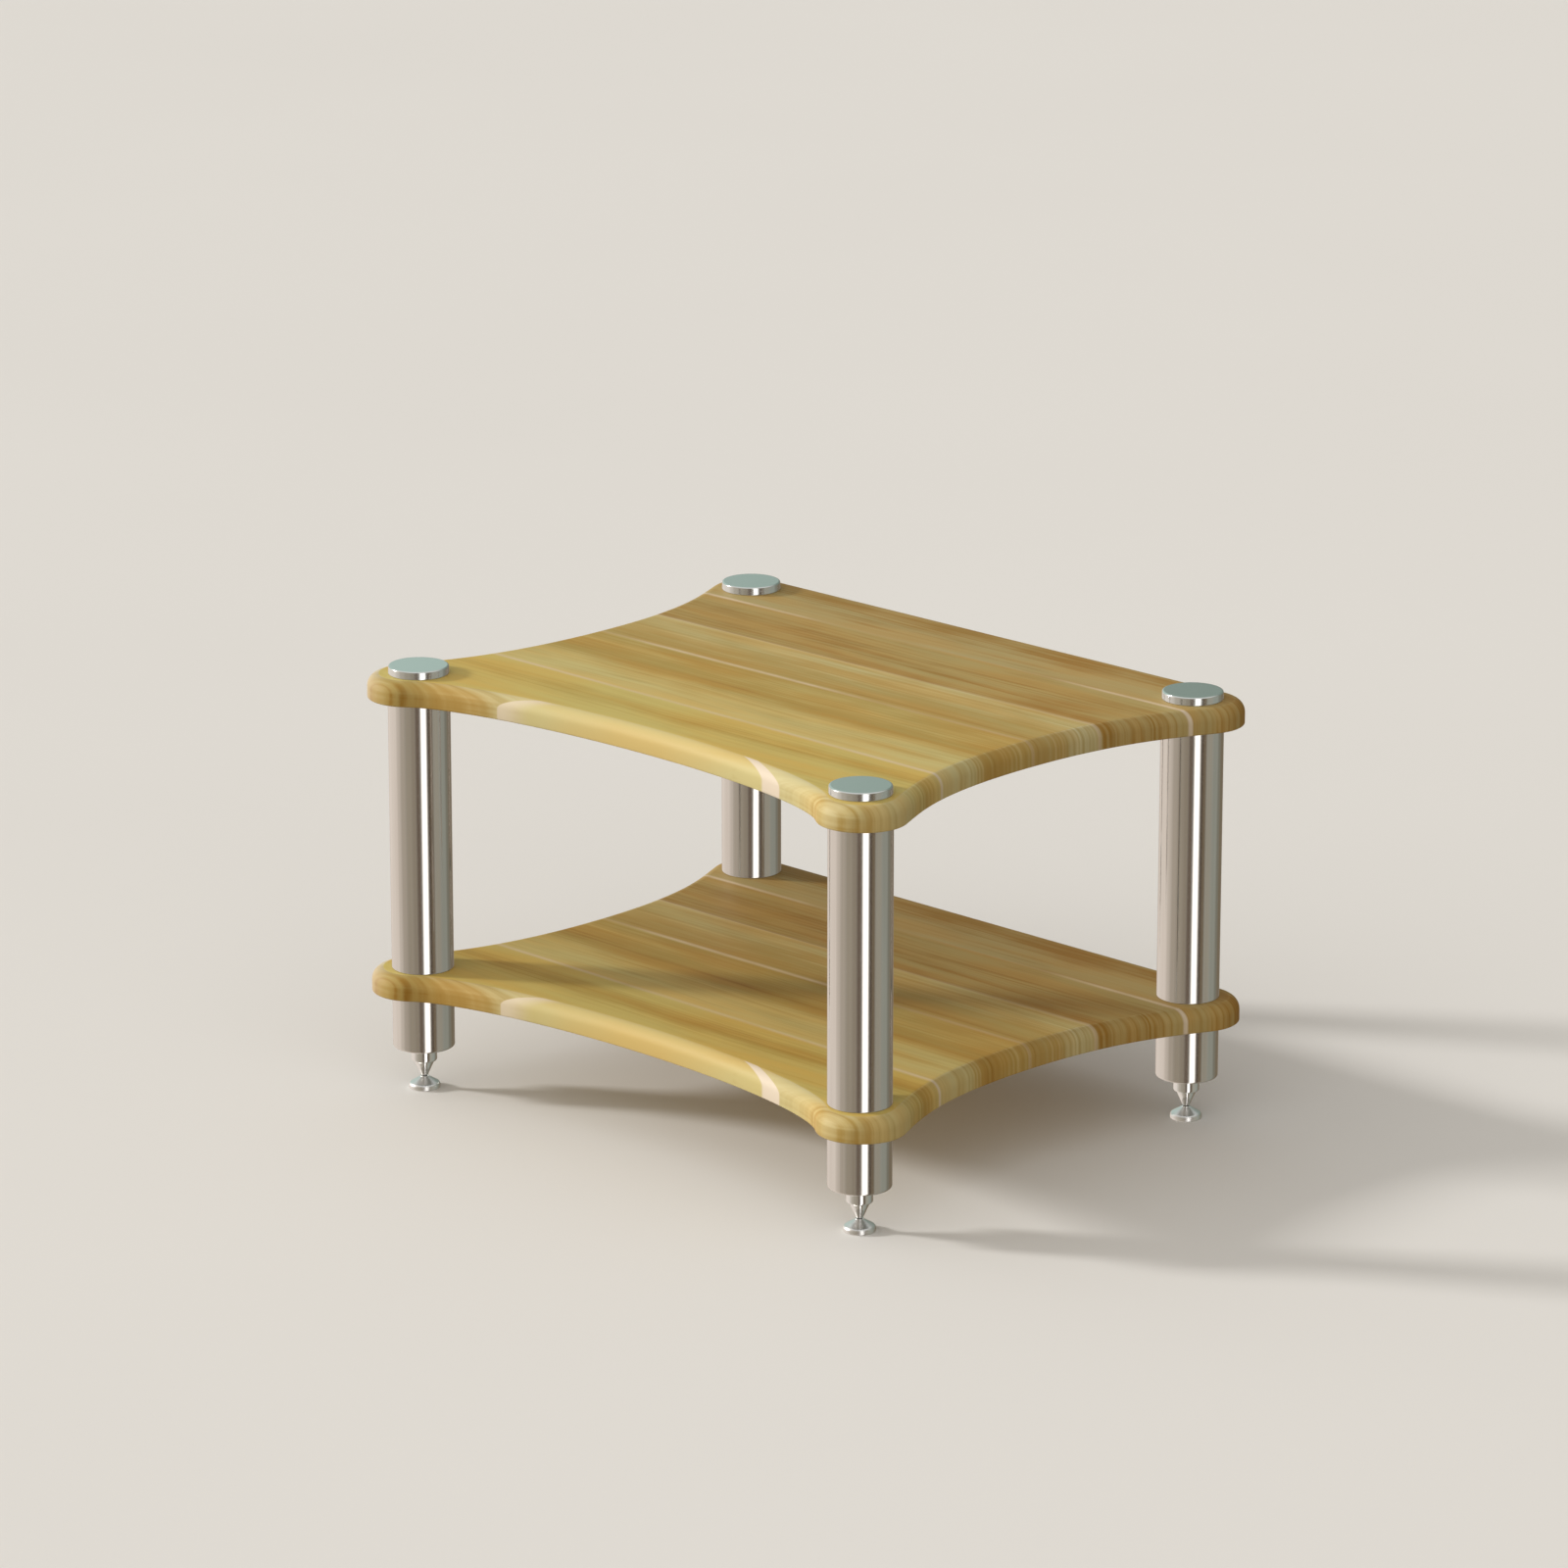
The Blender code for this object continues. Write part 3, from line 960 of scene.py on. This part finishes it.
tubeMetal = tubeMaterial()
capMetal = turnedMaterial(
    "turned_cap_steel", turnedMetal["cap"], turnedMetal["capRoughness"], turnedMetal["capLine"]
)
spikeMetal = turnedMaterial(
    "spike_chrome_plate",
    turnedMetal["chrome"],
    turnedMetal["spikeRoughness"],
    turnedMetal["spikeLine"],
)
shoeMetal = turnedMaterial(
    "shoe_chrome_plate",
    turnedMetal["chrome"],
    turnedMetal["shoeRoughness"],
    turnedMetal["shoeLine"],
)
insertMetal = platedMaterial()
inserts = (
    "plug_upper_top_",
    "plug_upper_bottom_",
    "plug_lower_top_",
    "plug_lower_bottom_",
    "joining_stud_",
)

for corner in corners:
    upper, lower = "column_upper_" + corner, "column_lower_" + corner
    makeTube("tube_upper_" + corner, upper, column["rimRound"], tubeMetal)
    makeTube("tube_lower_" + corner, lower, column["footRound"], tubeMetal)
    makeCap("round_cap_" + corner, "cap_" + corner, capMetal)
    makeSpike("screw_spike_" + corner, "spike_" + corner, "spike_body_" + corner, spikeMetal)
    makeShoe("dished_shoe_" + corner, "shoe_" + corner, "shoe_body_" + corner, shoeMetal)
    for place in inserts:
        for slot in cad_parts[place + corner].material_slots:
            slot.material = insertMetal
print("columns, caps and feet done")


# studio

studio = {
    "keyAzimuth": -57,
    "keyHeight": 18.5,
    "keyStrength": 2.62,
    "keyAngle": 7.5,
    "keyColour": (1.0, 0.97, 0.93),
    # the soft fill, how much it leans to the front, and its colours
    "fill": 0.68,
    "lean": 0.85,
    "fillColour": (1.0, 0.95, 0.88),
    # where it fades: from the middle to behind, and up from low down there
    "behind": (0.15, 0.70),
    "lowDown": (0.05, 0.50),
    "horizon": (-0.02, 0.02),
    "bounce": (0.32, 0.27, 0.20, 1),
    "background": (1.0, 1.0, 1.0, 1),
}

floorPlane = {
    "half": 14.0,
    "cells": 8,
    "pale": srgb(232, 231, 229),
    "dim": srgb(228, 227, 225),
    "cloudSize": 900,
    "cloudRoughness": 0.1,
    "roughness": 0.75,
    "specular": 0.2,
}

# what the polished metal mirrors
mirroredRoom = {
    # azimuth of each panel's middle, half width and softness in degrees, and its colour
    "panels": (
        (-118, 26, 14, (0.80, 0.70, 0.62, 1)),
        (-73, 34, 8, (1.00, 0.91, 0.83, 1)),
        (-37, 11, 7, (0.78, 0.71, 0.63, 1)),
        (-18, 12, 8, (0.58, 0.52, 0.44, 1)),
        (5, 13, 8, (0.46, 0.41, 0.33, 1)),
        (24, 9, 5, (0.39, 0.34, 0.27, 1)),
        (40, 8, 4, (0.20, 0.155, 0.12, 1)),
        (81, 6, 3, (0.12, 0.09, 0.065, 1)),
        (91, 6, 4, (0.23, 0.18, 0.12, 1)),
        (111, 12, 6, (0.44, 0.42, 0.35, 1)),
        (139, 15, 7, (0.39, 0.41, 0.36, 1)),
        (161, 8, 6, (0.27, 0.27, 0.22, 1)),
        (190, 22, 8, (0.24, 0.20, 0.14, 1)),
        (218, 14, 8, (0.30, 0.25, 0.20, 1)),
    ),
    "between": (0.46, 0.46, 0.42, 1),
    "strip": (61.8, 9.8, 2.0),
    "stripColour": (2.2, 2.15, 2.1, 1),
    # a bright soft box that shows only in rounded rims
    "softBox": (-76, 14, 12),
    "softBoxRise": (-0.05, 0.10),
    "softBoxColour": (1.5, 1.45, 1.4, 1),
    # what the caps' flat tops see behind the shelf: a wall that grows darker to the right
    "wall": (225, 62, 10),
    "wallRise": (0.02, 0.12),
    "wallTurn": (218, 231),
    "wallDark": (0.25, 0.31, 0.27, 1),
    "wallPale": (0.57, 0.73, 0.675, 1),
    "ceilingRise": (0.45, 0.85),
    "ceiling": (0.85, 0.87, 0.86, 1),
}

viewpoint = {
    "azimuth": 44.6053,
    "height": 16.1197,
    "distance": 5.7288,
    "target": (-0.0151, -0.00671, 0.2703),
    "lens": 161.968,
    "sensor": 36,
    "clipEnd": 100,
}


def towards(azimuth, height):
    azimuth, height = math.radians(azimuth), math.radians(height)
    level = math.cos(height)
    return Vector((math.sin(azimuth) * level, -math.cos(azimuth) * level, math.sin(height)))


def makeFloor():
    shape = bmesh.new()
    cells = floorPlane["cells"]
    bmesh.ops.create_grid(shape, x_segments=cells, y_segments=cells, size=floorPlane["half"])
    mesh = bpy.data.meshes.new("pale_floor")
    shape.to_mesh(mesh)
    shape.free()
    material, wire, shader, x, y, z = startMaterial("pale_floor_paint")
    size = floorPlane["cloudSize"]
    cloud = grain(wire, x / size, y / size, 0, 2.0)
    colour = mixColour((cloud + 0.5).clamp(), floorPlane["pale"], floorPlane["dim"])
    plug(colour, shader, "Base Color")
    plug(floorPlane["roughness"] + cloud * floorPlane["cloudRoughness"], shader, "Roughness")
    shader.inputs["Specular IOR Level"].default_value = floorPlane["specular"]
    mesh.materials.append(material)
    floor = bpy.data.objects.new("pale_floor", mesh)
    bpy.context.scene.collection.objects.link(floor)
    floor.visible_glossy = False
    floor.visible_diffuse = False
    # the floor goes down with the foot nearest the camera, so that no shoe sinks into it
    # when all four are screwed out
    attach(floor, "shoe_body_front_right")


def makeKeyLight():
    lamp = bpy.data.lights.new("key_light", "SUN")
    lamp.energy = studio["keyStrength"]
    lamp.angle = math.radians(studio["keyAngle"])
    lamp.color = studio["keyColour"]
    key = bpy.data.objects.new("key_light", lamp)
    back = towards(studio["keyAzimuth"], studio["keyHeight"])
    key.rotation_euler = back.to_track_quat("Z", "Y").to_euler()
    bpy.context.scene.collection.objects.link(key)


def makeWorld():
    # fill light for the matt surfaces, and a ring of soft panels for the polished ones
    world = bpy.data.worlds.new("studio")
    world.use_nodes = True
    bpy.context.scene.world = world
    wire = Wire(world.node_tree)
    x, y, z = wire.put("ShaderNodeTexCoord", out="Generated").split()
    azimuth = wire.maths("ARCTAN2", x, y * -1) * (180 / math.pi)

    def panel(centre, half, soft):
        away = abs(wire.maths("WRAP", azimuth - centre, 180.0, -180.0))
        return 1 - away.step(half - soft, half + soft)

    room = mirroredRoom
    ring = room["between"]
    for centre, half, soft, colour in room["panels"]:
        ring = mixColour(panel(centre, half, soft), ring, colour)
    ring = mixColour(panel(*room["strip"]), ring, room["stripColour"])
    softBox = z.step(*room["softBoxRise"]) * panel(*room["softBox"])
    ring = mixColour(softBox, ring, room["softBoxColour"])
    turned = wire.maths("WRAP", azimuth, 360.0, 0.0).step(*room["wallTurn"])
    wall = mixColour(turned, room["wallDark"], room["wallPale"])
    ring = mixColour(z.step(*room["wallRise"]) * panel(*room["wall"]), ring, wall)
    ring = mixColour(z.step(*room["ceilingRise"]), ring, room["ceiling"])

    camera = wire.put("ShaderNodeLightPath", out="Is Camera Ray")
    rays = camera.socket.node.outputs
    shiny = Wire(wire.tree, rays["Is Glossy Ray"]) + Wire(wire.tree, rays["Is Transmission Ray"])
    # the soft fill is stronger in front than behind, and weaker from low down behind
    level = (1 - y * studio["lean"]) * studio["fill"]
    level = level * (1 - y.step(*studio["behind"]) * (1 - z.step(*studio["lowDown"])))
    fill = wire.put(
        "ShaderNodeVectorMath",
        {"operation": "SCALE"},
        {"Vector": studio["fillColour"], "Scale": level},
    )
    fill = mixColour(z.step(*studio["horizon"]), studio["bounce"], fill)
    seen = mixColour(shiny.clamp(), fill, ring)
    background = world.node_tree.nodes["Background"]
    plug(mixColour(camera, seen, studio["background"]), background, "Color")
    background.inputs["Strength"].default_value = 1.0
    world.cycles.sampling_method = "NONE"


def makeCamera():
    # stands where the photograph was taken from
    back = towards(viewpoint["azimuth"], viewpoint["height"])
    lens = bpy.data.cameras.new("camera")
    lens.lens = viewpoint["lens"]
    lens.sensor_width = viewpoint["sensor"]
    lens.clip_end = viewpoint["clipEnd"]
    camera = bpy.data.objects.new("camera", lens)
    camera.location = Vector(viewpoint["target"]) + back * viewpoint["distance"]
    camera.rotation_euler = back.to_track_quat("Z", "Y").to_euler()
    bpy.context.scene.collection.objects.link(camera)
    bpy.context.scene.camera = camera


makeFloor()
makeKeyLight()
makeWorld()
makeCamera()
bpy.context.scene.view_settings.view_transform = "Standard"
print("studio done")
